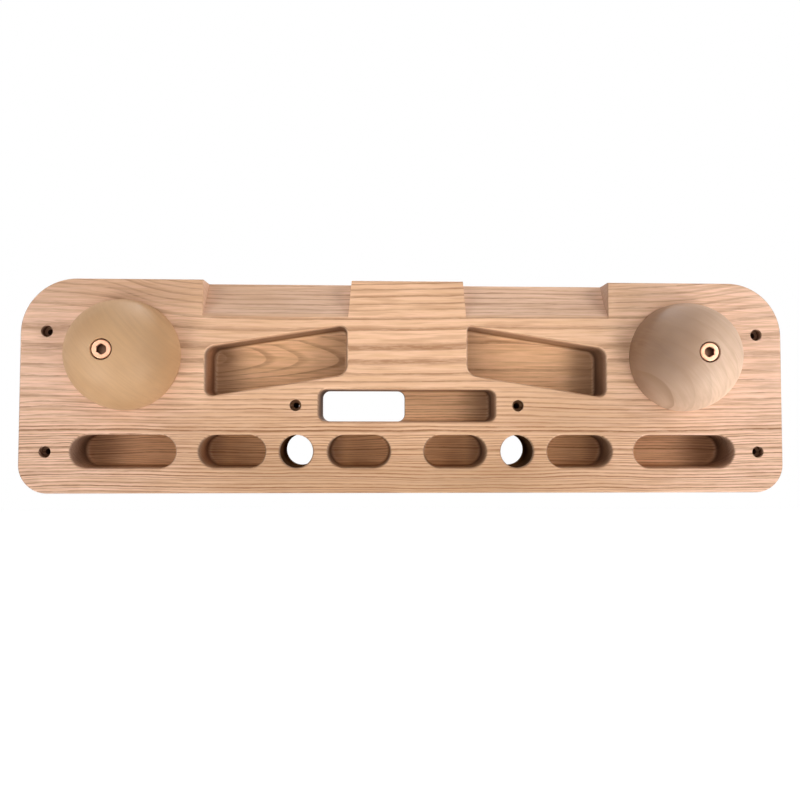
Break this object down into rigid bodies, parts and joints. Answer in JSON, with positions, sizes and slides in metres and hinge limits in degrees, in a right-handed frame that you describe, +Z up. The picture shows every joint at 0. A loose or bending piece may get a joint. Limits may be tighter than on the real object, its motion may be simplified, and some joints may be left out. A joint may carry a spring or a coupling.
{
  "type": "hangboard",
  "caption": "Wooden climbing hangboard with finger pockets, a long slot, sloping ledges along its top and bolted half-ball grips, screwed flat to a wall.",
  "frame": {"origin": "on the flat back of the board, on its centre line, level with the upper wall screws", "axes": "+X runs along the board to the right of someone facing it, -Y points out of its front towards the climber and +Y into the wall, and +Z is up"},
  "size_m": [0.7, 0.0945, 0.195],
  "materials": {
    "ash": "fine sanded, bare",
    "ball_wood": "turned and sanded, bare",
    "zinc_gold": "zinc plated, yellow passivated",
    "zinc": "zinc plated, bright"
  },
  "bodies": {
    "board": {"board": "ash", "left_t_nut": "zinc", "right_t_nut": "zinc"},
    "left_ball": {"left_ball": "ball_wood"},
    "right_ball": {"right_ball": "ball_wood"},
    "left_bolt": {"left_bolt": "zinc_gold"},
    "right_bolt": {"right_bolt": "zinc_gold"}
  },
  "joints": [
    {"name": "left_ball_turn", "type": "hinge", "parent": "board", "child": "left_ball", "pos_m": [-0.2555, -0.0453, -0.0215], "axis": [0, -1, 0], "continuous": true},
    {"name": "left_bolt_turn", "type": "hinge", "parent": "board", "child": "left_bolt", "pos_m": [-0.2555, -0.084, -0.0215], "axis": [0, -1, 0], "continuous": true},
    {"name": "right_ball_turn", "type": "hinge", "parent": "board", "child": "right_ball", "pos_m": [0.2555, -0.0453, -0.0215], "axis": [0, -1, 0], "continuous": true},
    {"name": "right_bolt_turn", "type": "hinge", "parent": "board", "child": "right_bolt", "pos_m": [0.2555, -0.084, -0.0215], "axis": [0, -1, 0], "continuous": true}
  ]
}
